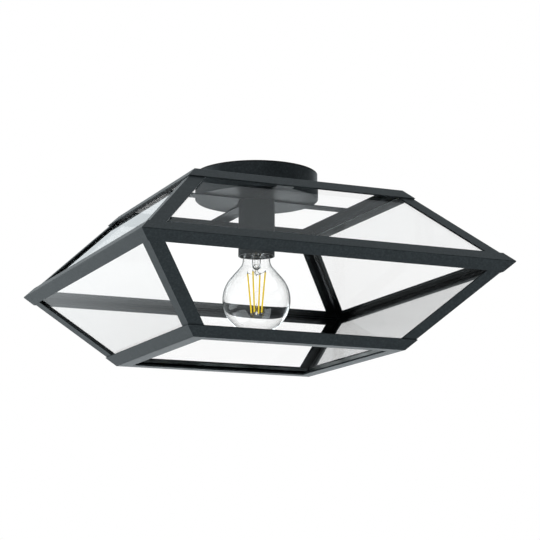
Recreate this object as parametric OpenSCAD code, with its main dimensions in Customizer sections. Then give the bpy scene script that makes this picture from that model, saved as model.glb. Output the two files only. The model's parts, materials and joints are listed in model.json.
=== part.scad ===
// Porch ceiling lantern: a faceted square cage of folded steel strips with
// eight clear panes, hung under a round canopy, with one globe bulb inside.
// Millimetres. The origin is the middle of the canopy on the ceiling, +Z up.
// The front of the lantern faces -Y.

/* [Cage] */
// Width over the middle rails, were their folds sharp
middle_w = 441; // [380:1:500]
// Width over the top and bottom rings
ring_w = 256; // [220:2:290]
// Height of the cage, top ring face to bottom ring face
cage_h = 185.5; // [160:0.5:210]
// Sheet thickness of rails and corner strips
sheet = 1.5; // [1:0.1:2]
// Width of each sloping leg of a rail
rail_leg = 15.2; // [14:0.2:20]
// Width of the flat leg of the top and bottom rails
ledge = 15.4; // [12:0.2:20]
// Width of each leg of a corner strip
hip_leg = 15.6; // [14.5:0.2:20]
// Outside radius of the folds
fold_r = 1.2; // [0.8:0.1:3]

/* [Glazing] */
// Thickness of the glass
pane_t = 4; // [3:0.5:4.5]
// Thickness of the glazing bed between a corner strip and the glass
bed_t = 1; // [0.6:0.1:1.2]
// Width of the glazing bed
bed_w = 5; // [3:0.5:5.5]
// Least distance between the edges of two panes
pane_gap = 1; // [0.6:0.1:1.4]
// How far a pane reaches behind the leg of the top or bottom rail
pane_lap = 9; // [6:0.5:11]

/* [Canopy] */
// Diameter of the canopy
canopy_d = 146; // [130:1:160]
// Ceiling to underside of the canopy
canopy_h = 33; // [31:0.5:42]
// Wall of the canopy
canopy_wall = 1.5; // [1:0.1:2]
// Outside radius of the canopy's lower edge
canopy_r = 2; // [1.6:0.1:4]
// Thickness of the ceiling gasket
gasket_t = 1.5; // [1:0.1:3]
// Width of the ceiling gasket
gasket_w = 3.5; // [2.5:0.1:4]

/* [Mounting cross] */
// Sheet thickness of the cross
cross_t = 1.5; // [1:0.1:3]
// Width of the arms that run front to back
arm_w = 22; // [18:0.5:26]
// Width of the arms that run left to right
side_arm_w = 18; // [16:0.5:26]
// Distance from the ring's edge to the end of an arm
arm_setback = 7.5; // [5:0.5:9]

/* [Ceiling bracket] */
// Width of the bracket
bracket_w = 22; // [20:1:26]
// Sheet thickness of the bracket
bracket_t = 2; // [1.5:0.1:2.5]
// Height of the bent tabs below the ceiling
tab_h = 18; // [16:0.5:22]
// Ceiling to the axis of the side screws
side_screw_z = 12; // [9:0.5:13]
// Distance between the middles of the two ceiling slots
slot_pitch = 88; // [80:1:96]
// Overall length of a ceiling slot
slot_l = 14; // [8:0.5:16]
// Width of a ceiling slot
slot_w = 5; // [4:0.1:6]
// Diameter of the hole for the supply cable
cable_hole_d = 18; // [14:0.5:20]
// Diameter of the side screws
side_screw_d = 4; // [3:0.1:5]

/* [Terminal block] */
// Distance between two poles of the block
pole_pitch = 8; // [7.5:0.1:9]
// Length of the block along the wires
block_l = 17; // [15:0.5:18]
// Height of the block
block_h = 12; // [10:0.5:12.5]
// Middle of the cable hole to the near face of the block
block_x = 13; // [12:0.5:14]

/* [Stem] */
// Diameter of the hollow stem
stem_d = 10; // [9.4:0.1:12]
// Wall of the hollow stem
stem_wall = 1; // [0.6:0.1:1]
// Thickness of the stem nuts
nut_h = 3.5; // [3:0.1:5]
// Width across flats of the stem nuts
nut_flats = 15; // [14:0.5:18]
// Thickness of the stem washers
washer_t = 1.2; // [0.8:0.1:2]
// Diameter of the stem washers
washer_d = 20; // [19:0.5:24]

/* [Socket tube] */
// Outside diameter of the socket tube
tube_d = 43; // [42.4:0.1:50]
// Wall of the socket tube
tube_wall = 1.5; // [1:0.1:1.6]
// Length of the socket tube
tube_l = 63; // [62.5:0.5:75]

/* [Lampholder] */
// Diameter of the lampholder
holder_d = 38; // [37:0.1:39]
// Length of the lampholder
holder_h = 50.5; // [49:0.5:52]
// Tube mouth to lampholder mouth
holder_recess = 3; // [2:0.1:5]
// Wall of the lampholder's cap and skirt
holder_wall = 2.4; // [1.8:0.1:2.8]
// Height of the lampholder's skirt
skirt_h = 32; // [31.5:0.5:33]
// Bore of the screw shell
shell_bore = 26.8; // [26.6:0.1:27.2]
// Wall of the screw shell
shell_wall = 0.5; // [0.4:0.1:0.7]
// Length of the screw shell
shell_l = 25.5; // [25:0.5:26.5]
// Lampholder mouth to the mouth of the screw shell
shell_recess = 3.5; // [3:0.1:4.5]

/* [Bulb] */
// Diameter of the globe
globe_d = 80; // [70:1:95]
// Diameter of the bulb's neck
neck_d = 32.4; // [30:0.2:34]
// Length of the straight neck under the cap
neck_l = 9.4; // [6:0.1:14]
// Radius of the curve between neck and shoulder
neck_r = 14; // [8:0.5:20]
// Slope of the straight shoulder, from the vertical
shoulder_a = 41; // [36:0.5:46]
// Wall of the bulb's glass
bulb_wall = 0.9; // [0.6:0.1:1.4]
// Lampholder mouth to the tip of the bulb
cap_reach = 27; // [26.5:0.1:27.5]
// Diameter of the bulb's screw cap
cap_d = 26.1; // [25.8:0.1:26.2]
// Height of the bulb's screw cap, tip included
cap_h = 25.5; // [24:0.5:26]
// Diameter of a filament
filament_d = 1.9; // [1.4:0.1:2.4]
// Height of a filament
filament_h = 48; // [38:1:50]
// Distance of the filament tops from the axis
filament_top = 11.2; // [8:0.2:13]
// Distance of the filament feet from the axis
filament_foot = 6.4; // [4:0.2:9]

/* [Clearances] */
// Clearance round a plain bolt or stem
hole_clear = 0.1; // [0.05:0.05:0.3]
// Clearance between the bracket's tabs and the canopy
tab_clear = 0.3; // [0.2:0.1:0.8]
// Clearance between the bulb's tip and its contact
tip_clear = 0.05; // [0.02:0.01:0.2]

/* [Hidden] */
$fn = 96;
eps = 0.01;

// Levels, all below the ceiling
z_ring = -(canopy_h + cross_t);
z_mid = z_ring - cage_h / 2;
z_floor = -(canopy_h - canopy_wall);
z_tube_end = z_ring - tube_l;
z_holder = z_tube_end + holder_recess;
z_holder_top = z_holder + holder_h;
z_skirt_top = z_holder + skirt_h;
z_shell = z_holder + shell_recess;
z_tip = z_holder + cap_reach;

// Slope of a cage face, from the middle fold up to the ring
run = (middle_w - ring_w) / 2;
rise = cage_h / 2;
slope = atan2(rise, run);
face_l = sqrt(run * run + rise * rise);
skew = sqrt(run * run + face_l * face_l) / face_l;
// Half of the angle between two neighbouring faces
half_corner = acos(-cos(slope) * cos(slope)) / 2;

// Depths behind the outside of a face
bed_d = 2 * sheet;
glass_d = bed_d + bed_t;
back_d = glass_d + pane_t;
// Edges of a pane, up the slope and in from the corner fold
pane_s0 = (pane_gap / 2 + back_d * cos(slope)) / sin(slope);
pane_s1 = face_l - rail_leg + pane_lap;
pane_in = back_d / tan(half_corner) + pane_gap / 2 / sin(half_corner);

// Half width of a face at slope distance s, inset by h from its corner folds
function half_w(s, h) = middle_w / 2 - run * s / face_l - h * skew;
function arc(cx, cy, r, a0, a1, n) = [for (i = [0:n]) [cx + r * cos(a0 + (a1 - a0) * i / n), cy + r * sin(a0 + (a1 - a0) * i / n)]];

// ---------- placing on the four sides ----------
// side 0 front, 1 right, 2 back, 3 left; under mirrors to the lower half
module side(k, under = false) {
  translate([0, 0, z_mid]) mirror([0, 0, under ? 1 : 0]) rotate([0, 0, 90 * k]) children();
}
// The quarter of the plan that belongs to the front side
module quarter() {
  big = middle_w;
  translate([0, 0, -cage_h]) linear_extrude(2 * cage_h) polygon([[0, 0], [-big, -big], [big, -big]]);
}
// A section drawn in Y and Z, run along X over the whole front and mitred
module mitred(edge_y) {
  intersection() {
    translate([-middle_w / 2 - sheet, -edge_y, 0]) rotate([90, 0, 90]) linear_extrude(middle_w + 2 * sheet) children();
    quarter();
  }
}
// The outside of the upper front face: X along it, Y up the slope, Z outward
module on_face(depth, thick) {
  translate([0, -middle_w / 2, 0]) rotate([slope, 0, 0]) translate([0, 0, -depth - thick]) linear_extrude(thick) children();
}

// ---------- cage ----------
module middle_section() {
  c = cos(slope);
  s = sin(slope);
  k = fold_r / s;
  polygon(concat(
    [[rail_leg * c, rail_leg * s], [rail_leg * c + sheet * s, rail_leg * s - sheet * c],
     [sheet / s, 0],
     [rail_leg * c + sheet * s, sheet * c - rail_leg * s], [rail_leg * c, -rail_leg * s]],
    arc(k, 0, fold_r, 270 - slope, 90 + slope, 6)));
}
module ring_section() {
  c = cos(slope);
  s = sin(slope);
  t = fold_r * tan(slope / 2);
  polygon(concat(
    [[ledge, 0], [ledge, -sheet], [sheet * s - sheet * (1 - c) * c / s, -sheet],
     [sheet * s - rail_leg * c, -sheet * c - rail_leg * s], [-rail_leg * c, -rail_leg * s]],
    arc(t, -fold_r, fold_r, 90 + slope, 90, 4)));
}
module middle_rail(k) {
  color("dimgray") side(k) mitred(middle_w / 2) middle_section();
}
module ring_rail(k, under) {
  color("dimgray") side(k, under) translate([0, 0, rise]) intersection() {
    translate([-ring_w, -ring_w / 2, 0]) rotate([90, 0, 90]) linear_extrude(2 * ring_w) ring_section();
    quarter();
  }
}
// One leg of a corner strip along the right edge of the front face
module strip_leg() {
  over = 4 * hip_leg;
  intersection() {
    on_face(sheet, sheet) polygon([
      [half_w(-over, hip_leg), -over], [half_w(-over, -over), -over],
      [half_w(face_l + over, -over), face_l + over], [half_w(face_l + over, hip_leg), face_l + over]]);
    quarter();
    translate([-middle_w, -middle_w, 0]) cube([2 * middle_w, 2 * middle_w, rise - sheet]);
  }
}
module corner_strip(k, under) {
  color("slategray") side(k, under) union() {
    strip_leg();
    rotate([0, 0, 90]) mirror([1, 0, 0]) strip_leg();
  }
}
module pane_outline(grow) {
  a = pane_s0 + grow;
  b = pane_s1 - grow;
  h = pane_in + grow;
  polygon([[-half_w(a, h), a], [half_w(a, h), a], [half_w(b, h), b], [-half_w(b, h), b]]);
}
module pane(k, under) {
  color([0.8, 0.9, 0.95, 0.5]) side(k, under) on_face(glass_d, pane_t) pane_outline(0);
}
// The bed fills the step between the rails and the corner strips
module glazing_bed() {
  on_face(bed_d, bed_t) difference() {
    pane_outline(0);
    pane_outline(bed_w);
  }
  for (e = [[pane_s0, pane_s0 + bed_w], [pane_s1 - bed_w, pane_s1]])
    on_face(sheet, sheet + eps) polygon([
      [-half_w(e[0], hip_leg), e[0]], [half_w(e[0], hip_leg), e[0]],
      [half_w(e[1], hip_leg), e[1]], [-half_w(e[1], hip_leg), e[1]]]);
}
module glazing_beds(under) {
  color("black") for (k = [0:3]) side(k, under) glazing_bed();
}

// ---------- mounting cross and canopy ----------
module mounting_cross() {
  reach = ring_w - 2 * arm_setback;
  color("dimgray") translate([0, 0, z_ring]) linear_extrude(cross_t) difference() {
    union() {
      square([arm_w, reach], center = true);
      square([reach, side_arm_w], center = true);
      circle(d = tube_d);
    }
    circle(d = stem_d + 2 * hole_clear);
  }
}
module canopy() {
  r = canopy_d / 2;
  w = canopy_wall;
  color("dimgray") difference() {
    rotate_extrude($fn = 180) polygon(concat(
      [[stem_d / 2 + hole_clear, -canopy_h], [stem_d / 2 + hole_clear, -canopy_h + w]],
      arc(r - canopy_r, -canopy_h + canopy_r, canopy_r - w, -90, 0, 5),
      [[r - w, -gasket_t], [r, -gasket_t]],
      arc(r - canopy_r, -canopy_h + canopy_r, canopy_r, 0, -90, 8)));
    for (m = [-1, 1]) translate([m * (r - w / 2), 0, -side_screw_z]) rotate([0, 90, 0])
      cylinder(d = side_screw_d + 2 * hole_clear, h = 3 * w, center = true);
  }
}
module ceiling_gasket() {
  r = canopy_d / 2;
  color("black") translate([0, 0, -gasket_t]) linear_extrude(gasket_t) difference() {
    circle(r = r, $fn = 180);
    circle(r = r - gasket_w, $fn = 180);
  }
}
// the tabs' outer corners clear the canopy's wall and the gasket's bore
function chord_x(r) = sqrt(r * r - bracket_w * bracket_w / 4);
tab_x = chord_x(canopy_d / 2 - canopy_wall - tab_clear);
module ceiling_bracket() {
  // room under the gasket for the bar's ends
  drop = gasket_t;
  flat_x = chord_x(canopy_d / 2 - gasket_w - tab_clear);
  color("silver") difference() {
    union() {
      translate([-flat_x, -bracket_w / 2, -bracket_t]) cube([2 * flat_x, bracket_w, bracket_t]);
      for (m = [0, 1]) mirror([m, 0, 0]) rotate([90, 0, 0]) translate([0, 0, -bracket_w / 2]) linear_extrude(bracket_w)
        polygon([[flat_x - bracket_t, 0], [flat_x, 0], [flat_x, -drop - tab_clear], [tab_x, -drop - tab_clear - (tab_x - flat_x)],
                 [tab_x, -tab_h], [tab_x - bracket_t, -tab_h],
                 [tab_x - bracket_t, -drop - tab_clear - (tab_x - flat_x) - bracket_t / 2],
                 [flat_x - bracket_t, -drop - tab_clear - bracket_t / 2]]);
    }
    for (m = [-1, 1]) {
      translate([m * tab_x, 0, -side_screw_z]) rotate([0, 90, 0]) cylinder(d = side_screw_d, h = 4 * bracket_t, center = true);
      translate([m * slot_pitch / 2, 0, -2 * bracket_t]) linear_extrude(3 * bracket_t) {
        square([slot_l - slot_w, slot_w], center = true);
        for (n = [-1, 1]) translate([n * (slot_l - slot_w) / 2, 0]) circle(d = slot_w);
      }
    }
    translate([0, 0, -2 * bracket_t]) cylinder(d = cable_hole_d, h = 3 * bracket_t);
    translate([block_x + block_l / 2, 0, -2 * bracket_t]) cylinder(d = 3, h = 3 * bracket_t);
    translate([-earth_x, 0, -2 * bracket_t]) cylinder(d = 4, h = 3 * bracket_t);
  }
}
module canopy_side_screws() {
  color("gray") for (m = [0, 1]) mirror([m, 0, 0]) translate([canopy_d / 2, 0, -side_screw_z]) rotate([0, 90, 0]) {
    rotate_extrude() polygon(concat([[0, -8], [side_screw_d / 2 - 0.02, -8], [side_screw_d / 2 - 0.02, 0], [side_screw_d * 0.9, 0]],
      arc(0, -side_screw_d * 0.45, side_screw_d, 26.7, 90, 6)));
  }
}

// ---------- terminal block and wires ----------
earth_x = 22;
block_w = 3 * pole_pitch;
entry_z = -bracket_t - block_h * 0.6;
module terminal_block() {
  color("ivory") translate([block_x, 0, -bracket_t]) difference() {
    union() {
      translate([0, -block_w / 2, -2.5]) cube([block_l, block_w, 2.5]);
      for (i = [-1:1]) translate([0, (i - 0.5) * pole_pitch + 0.5, -block_h]) cube([block_l, pole_pitch - 1, block_h - 2]);
    }
    for (i = [-1:1]) {
      translate([-1, i * pole_pitch, -block_h * 0.6]) rotate([0, 90, 0]) cylinder(d = 4, h = block_l + 2);
      for (x = [3.6, block_l - 3.6]) translate([x, i * pole_pitch, -block_h - 1]) cylinder(d = 3.6, h = block_h * 0.4 + 0.6);
    }
    translate([block_l / 2, 0, -block_h - 1]) cylinder(d = 3.2, h = block_h + 2);
    translate([block_l / 2, 0, -block_h - 1]) cylinder(d = 5.3, h = block_h - 2.5);
  }
}
module terminal_screws() {
  color("goldenrod") for (i = [-1:1], x = [3.6, block_l - 3.6])
    translate([block_x + x, i * pole_pitch, -bracket_t - block_h + 0.6]) difference() {
      cylinder(d = 3.4, h = 2.6);
      translate([-2, -0.3, -1]) cube([4, 0.6, 1.8]);
    }
}
module terminal_block_screw() {
  color("silver") translate([block_x + block_l / 2, 0, -bracket_t - 3.5]) {
    translate([0, 0, 0]) cylinder(d = 2.9, h = 3.5 + bracket_t);
    translate([0, 0, -1.8]) difference() {
      cylinder(d = 5, h = 1.8);
      translate([-3, -0.4, -1]) cube([6, 0.8, 1.8]);
    }
  }
}
module earth_screw() {
  color("goldenrod") translate([-earth_x, 0, -bracket_t]) {
    translate([0, 0, -1]) difference() { cylinder(d = 8, h = 1); translate([0, 0, -1]) cylinder(d = 3.8, h = 3); }
    translate([0, 0, -1]) cylinder(d = 3.9, h = 1 + bracket_t);
    translate([0, 0, -3.4]) difference() {
      cylinder(d = 7, h = 2.4);
      translate([-4, -0.5, -1]) cube([8, 1, 2]);
    }
  }
}

// A tube swept along a smooth line through points
function mixed(p, t) =
  let (n = len(p) - 1, i = min(n - 1, floor(t * n)), f = t * n - i,
       a = p[max(0, i - 1)], b = p[i], c = p[i + 1], d = p[min(n, i + 2)])
  0.5 * ((2 * b) + (c - a) * f + (2 * a - 5 * b + 4 * c - d) * f * f + (3 * b - a - 3 * c + d) * f * f * f);
function unit(v) = v / norm(v);
module swept(p, r, rings, sides = 8) {
  pts = [for (i = [0:rings]) mixed(p, i / rings)];
  tan_ = [for (i = [0:rings]) unit(pts[min(rings, i + 1)] - pts[max(0, i - 1)])];
  ref = [0.137, 0.969, 0.206];
  polyhedron(
    points = [for (i = [0:rings], j = [0:sides - 1])
      let (u = unit(cross(tan_[i], ref)), v = cross(tan_[i], u), a = 360 * j / sides)
      pts[i] + r * (cos(a) * u + sin(a) * v)],
    faces = concat(
      [for (i = [0:rings - 1], j = [0:sides - 1]) let (k = (j + 1) % sides) [i * sides + j, i * sides + k, (i + 1) * sides + k]],
      [for (i = [0:rings - 1], j = [0:sides - 1]) let (k = (j + 1) % sides) [i * sides + j, (i + 1) * sides + k, (i + 1) * sides + j]],
      [[for (j = [sides - 1:-1:0]) j]], [[for (j = [0:sides - 1]) rings * sides + j]]));
}
wire_d = 2.2;
stem_top = z_floor + washer_t + nut_h + 2;
stem_end = z_holder_top - 9;
core_top = z_skirt_top + 5;
function lead(m) = [
  [block_x + 3, m * pole_pitch, entry_z], [block_x - 2, m * pole_pitch, entry_z],
  [block_x - 8, m * (pole_pitch - 1.6), entry_z - 1.6], [1.2, m * 3.2, stem_top + 4.5],
  [0, m * 1.5, stem_top - 2], [0, m * 1.5, (stem_top + stem_end) / 2], [0, m * 1.5, stem_end - 1], [0, m * 4.5, core_top]];
module live_wire() {
  color("saddlebrown") swept(lead(1), wire_d / 2, 42);
}
module neutral_wire() {
  color("royalblue") swept(lead(-1), wire_d / 2, 42);
}
module earth_wire() {
  color("yellowgreen") swept([[block_x + 3, 0, entry_z], [block_x - 2, 0, entry_z], [block_x - 8, -3, entry_z + 1],
    [0, -8, entry_z], [-earth_x + 12, -5, entry_z + 1], [-earth_x + 7, -1, -bracket_t - 2.5], [-earth_x + 4.2, 0, -bracket_t - 1.4]], wire_d / 2, 36);
}

// ---------- stem and socket tube ----------
module hollow_stem() {
  color("silver") translate([0, 0, stem_end]) difference() {
    cylinder(d = stem_d, h = stem_top - stem_end);
    translate([0, 0, -1]) cylinder(d = stem_d - 2 * stem_wall, h = stem_top - stem_end + 2);
  }
}
module nut() {
  difference() {
    intersection() {
      cylinder(d = nut_flats / cos(30), h = nut_h, $fn = 6);
      union() {
        cylinder(d1 = nut_flats, d2 = nut_flats + nut_h * 2, h = nut_h / 2);
        translate([0, 0, nut_h / 2]) cylinder(d2 = nut_flats, d1 = nut_flats + nut_h * 2, h = nut_h / 2);
      }
    }
    translate([0, 0, -1]) cylinder(d = stem_d, h = nut_h + 2);
  }
}
module stem_nuts() {
  color("silver") {
    translate([0, 0, z_floor + washer_t]) nut();
    translate([0, 0, z_ring - tube_wall - washer_t - nut_h]) nut();
  }
}
module washer() {
  difference() {
    cylinder(d = washer_d, h = washer_t);
    translate([0, 0, -1]) cylinder(d = stem_d + 2 * hole_clear, h = washer_t + 2);
  }
}
module stem_washers() {
  color("silver") {
    translate([0, 0, z_floor]) washer();
    translate([0, 0, z_ring - tube_wall - washer_t]) washer();
  }
}
module socket_tube() {
  r = tube_d / 2;
  color("dimgray") rotate_extrude() polygon(concat(
    [[stem_d / 2 + hole_clear, z_ring], [r - 0.8, z_ring]], arc(r - 0.8, z_ring - 0.8, 0.8, 90, 0, 3),
    [[r, z_tube_end], [r - tube_wall, z_tube_end], [r - tube_wall, z_ring - tube_wall], [stem_d / 2 + hole_clear, z_ring - tube_wall]]));
}

// ---------- lampholder ----------
holder_r = holder_d / 2;
shell_r = shell_bore / 2 + shell_wall;
neck_end = z_holder_top - 7;
module lampholder_cap() {
  w = holder_wall;
  b = stem_d / 2 + hole_clear / 2;
  top = z_skirt_top + 3;
  color("dimgray") rotate_extrude() polygon(concat(
    [[b, z_holder_top], [b + 2.2, z_holder_top], [b + 2.8, z_holder_top - 0.6], [b + 2.8, neck_end]],
    arc(holder_r - 6, top, 6, 90, 0, 6),
    [[holder_r, z_skirt_top], [holder_r - w, z_skirt_top], [holder_r - w, top]],
    [[holder_r - w - 2, top + 2], [b + 1, neck_end - 2.6], [b, neck_end - 2.6]]));
}
module lampholder_skirt() {
  w = holder_wall;
  mouth = shell_r + 0.9;
  color("dimgray") difference() {
    rotate_extrude() polygon([
      [holder_r, z_skirt_top], [holder_r, z_holder + 1.2], [holder_r - 1.2, z_holder],
      [mouth + 1, z_holder], [mouth, z_holder + 1], [mouth, z_shell + shell_l],
      [holder_r - w, z_shell + shell_l + 1], [holder_r - w, z_skirt_top]]);
    // grip flutes round the skirt
    for (i = [0:23]) rotate([0, 0, 15 * i]) translate([holder_r + 0.5, 0, z_holder + 6]) cylinder(r = 1, h = skirt_h - 14, $fn = 24);
  }
}
module lampholder_core() {
  r = holder_r - holder_wall - 0.2;
  plate = z_shell + shell_l + 1;
  color("white") difference() {
    union() {
      translate([0, 0, plate]) cylinder(r = r - 0.4, h = z_skirt_top - plate);
      translate([0, 0, z_skirt_top - eps]) cylinder(r = r - 1.8, h = core_top - z_skirt_top - 2 + eps);
      translate([-r * 0.62, -3.4, core_top - 2 - eps]) cube([r * 1.24, 6.8, 0.8]);
    }
    // seat of the centre contact
    translate([0, 0, plate - 1]) cylinder(r = 5.4, h = 2);
    for (m = [-1, 1]) translate([m * (r - 5.5), 0, plate - 1]) cylinder(d = 3, h = core_top - plate + 2);
  }
}
module lampholder_screw_shell() {
  color("goldenrod") rotate_extrude() polygon([
    [shell_r - shell_wall, z_shell], [shell_r, z_shell], [shell_r, z_shell + shell_l], [shell_r, z_shell + shell_l + 1],
    [9, z_shell + shell_l + 1], [9, z_shell + shell_l + 1 - shell_wall], [shell_r - shell_wall, z_shell + shell_l + 1 - shell_wall]]);
}
module lampholder_centre_contact() {
  plate = z_shell + shell_l + 1;
  color("goldenrod") {
    translate([0, 0, plate - 0.6]) cylinder(r = 5, h = 1.6);
    translate([0, 0, z_tip + tip_clear]) cylinder(r1 = 2.6, r2 = 4, h = plate - 0.6 - z_tip - tip_clear + eps);
  }
}

// ---------- bulb ----------
cap_end = z_tip - cap_h;
neck = neck_d / 2;
globe = globe_d / 2;
// height of the straight neck's end above the globe's middle: the shoulder touches both curves
neck_h = (globe + neck_r - (neck + neck_r) * cos(shoulder_a)) / sin(shoulder_a);
z_globe = cap_end - neck_l - neck_h;
function globe_line(d) = concat(
  [[cap_d / 2 - 0.9 - d, cap_end + 3], [cap_d / 2 - 0.9 - d, cap_end], [cap_d / 2 - 0.1 - d, cap_end - 0.8],
   [neck - 0.7 - d, cap_end - 3.6], [neck - d, cap_end - 5.6]],
  arc(neck + neck_r, z_globe + neck_h, neck_r + d, 180, 180 + shoulder_a, 8),
  arc(0, z_globe, globe - d, shoulder_a, -90, 30));
module bulb_globe() {
  outer = globe_line(0);
  inner = globe_line(bulb_wall);
  color([0.9, 0.95, 1, 0.4]) rotate_extrude($fn = 120)
    polygon(concat(outer, [for (i = [len(inner) - 1:-1:0]) inner[i]]));
}
fil_top = z_globe + 32.5;
fil_foot = fil_top - filament_h;
mount_r = cap_d / 2 - 0.9 - bulb_wall;
module bulb_stem_mount() {
  color([0.9, 0.95, 1, 0.6]) {
    rotate_extrude() polygon([
      [0, cap_end + 1], [mount_r, cap_end + 1], [mount_r, cap_end], [6.6, cap_end - 3], [5.1, cap_end - 7],
      [5.1, fil_top + 7.5], [2.6, fil_top + 3.4], [2.2, fil_top + 1.6], [2.9, fil_top - 0.4], [1.8, fil_top - 1.8],
      [0.55, fil_top - 2.4], [0.55, fil_foot + 1.6], [1.5, fil_foot + 0.6], [1.5, fil_foot - 1.4], [0, fil_foot - 2.2]]);
  }
}
module bulb_filaments() {
  lean = atan2(filament_top - filament_foot, filament_h);
  long = sqrt(pow(filament_top - filament_foot, 2) + pow(filament_h, 2));
  color("gold") for (i = [0:3]) rotate([0, 0, 45 + 90 * i]) translate([filament_foot, 0, fil_foot]) rotate([0, lean, 0])
    cylinder(d = filament_d, h = long, $fn = 16);
}
// A thin arm between two points of the X-Z plane
module arm(x0, z0, x1, z1, d) {
  translate([x0, 0, z0]) rotate([0, atan2(x1 - x0, z1 - z0), 0]) cylinder(d = d, h = norm([x1 - x0, z1 - z0]), $fn = 13);
}
module bulb_filament_supports() {
  color("silver") for (i = [0:3]) rotate([0, 0, 45 + 90 * i]) {
    arm(2.9, fil_top - 0.5, filament_top - 0.3, fil_top + 0.5, 0.5);
    translate([filament_top, 0, fil_top + 0.45]) cylinder(d = 1.6, h = 0.9, $fn = 16);
    arm(1.5, fil_foot - 0.6, filament_foot - 0.2, fil_foot - 0.6, 0.5);
    translate([filament_foot, 0, fil_foot - 1.1]) cylinder(d = 1.6, h = 0.9, $fn = 16);
  }
}
module bulb_screw_cap() {
  r = cap_d / 2;
  color("silver") rotate_extrude() polygon([
    [r - 0.9, cap_end], [r, cap_end], [r, z_tip - 6], [r - 1.2, z_tip - 4.8], [11, z_tip - 4.4],
    [11, z_tip - 4.9], [r - 1.5, z_tip - 5.3], [r - 0.5, z_tip - 6.3], [r - 0.5, cap_end + 3.4], [r - 0.9, cap_end + 3]]);
}
module bulb_cap_insulator() {
  color("black") rotate_extrude() polygon([
    [0, z_tip - 5.6], [10.4, z_tip - 5.6], [10.9, z_tip - 5.1], [10.9, z_tip - 4.4], [6, z_tip - 1.7], [4.9, z_tip - 1.5], [0, z_tip - 1.5]]);
}
module bulb_tip_contact() {
  color("silver") rotate_extrude() polygon(concat([[0, z_tip - 1.5], [4.8, z_tip - 1.5], [4.8, z_tip - 0.9]], arc(3.9, z_tip - 0.9, 0.9, 0, 90, 4), [[0, z_tip]]));
}

ring_rail(0, false);  // top_rail_front
ring_rail(1, false);  // top_rail_right
ring_rail(2, false);  // top_rail_back
ring_rail(3, false);  // top_rail_left
middle_rail(0);  // middle_rail_front
middle_rail(1);  // middle_rail_right
middle_rail(2);  // middle_rail_back
middle_rail(3);  // middle_rail_left
ring_rail(0, true);  // bottom_rail_front
ring_rail(1, true);  // bottom_rail_right
ring_rail(2, true);  // bottom_rail_back
ring_rail(3, true);  // bottom_rail_left
corner_strip(0, false);  // upper_corner_strip_front_right
corner_strip(1, false);  // upper_corner_strip_back_right
corner_strip(2, false);  // upper_corner_strip_back_left
corner_strip(3, false);  // upper_corner_strip_front_left
corner_strip(0, true);  // lower_corner_strip_front_right
corner_strip(1, true);  // lower_corner_strip_back_right
corner_strip(2, true);  // lower_corner_strip_back_left
corner_strip(3, true);  // lower_corner_strip_front_left
pane(0, false);  // upper_pane_front
pane(1, false);  // upper_pane_right
pane(2, false);  // upper_pane_back
pane(3, false);  // upper_pane_left
pane(0, true);  // lower_pane_front
pane(1, true);  // lower_pane_right
pane(2, true);  // lower_pane_back
pane(3, true);  // lower_pane_left
glazing_beds(false);  // upper_glazing_beds
glazing_beds(true);  // lower_glazing_beds
mounting_cross();
canopy();
ceiling_gasket();
ceiling_bracket();
canopy_side_screws();
terminal_block();
terminal_screws();
terminal_block_screw();
hollow_stem();
stem_nuts();
stem_washers();
socket_tube();
lampholder_cap();
lampholder_skirt();
lampholder_core();
lampholder_screw_shell();
lampholder_centre_contact();
live_wire();
neutral_wire();
earth_wire();
earth_screw();
bulb_globe();
bulb_stem_mount();
bulb_filaments();
bulb_filament_supports();
bulb_screw_cap();
bulb_cap_insulator();
bulb_tip_contact();
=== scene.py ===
import json
import math

import bpy
import numpy as np
from mathutils import Matrix, Vector


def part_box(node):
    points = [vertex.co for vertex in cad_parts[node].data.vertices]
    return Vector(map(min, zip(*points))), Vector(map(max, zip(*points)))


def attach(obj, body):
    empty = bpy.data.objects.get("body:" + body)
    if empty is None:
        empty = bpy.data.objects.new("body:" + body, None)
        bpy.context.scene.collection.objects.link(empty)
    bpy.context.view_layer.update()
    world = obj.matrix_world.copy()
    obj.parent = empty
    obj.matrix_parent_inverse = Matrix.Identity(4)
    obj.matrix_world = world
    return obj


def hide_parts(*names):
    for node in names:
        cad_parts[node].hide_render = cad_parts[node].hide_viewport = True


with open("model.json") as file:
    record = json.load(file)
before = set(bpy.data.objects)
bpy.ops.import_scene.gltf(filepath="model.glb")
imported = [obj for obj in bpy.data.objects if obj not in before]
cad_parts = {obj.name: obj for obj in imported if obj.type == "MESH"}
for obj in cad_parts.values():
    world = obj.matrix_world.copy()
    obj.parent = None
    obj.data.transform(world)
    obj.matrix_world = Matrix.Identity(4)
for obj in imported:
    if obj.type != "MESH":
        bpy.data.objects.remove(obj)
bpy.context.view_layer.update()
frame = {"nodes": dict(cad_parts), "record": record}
nodes = frame["nodes"]
mm = 0.001   # every outline below is in millimetres
print("frame:", len(nodes), "CAD nodes")

camera = dict(
    place=(-0.75910, -1.75969, -0.48874),
    azimuth=23.8253,   # degrees that the view turns from +Y towards +X
    rise=11.0426,      # degrees that the view looks up
    roll=0.0801,
    lens=110.365,
    sensor=36.0,
    farClip=50.0,
)


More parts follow.
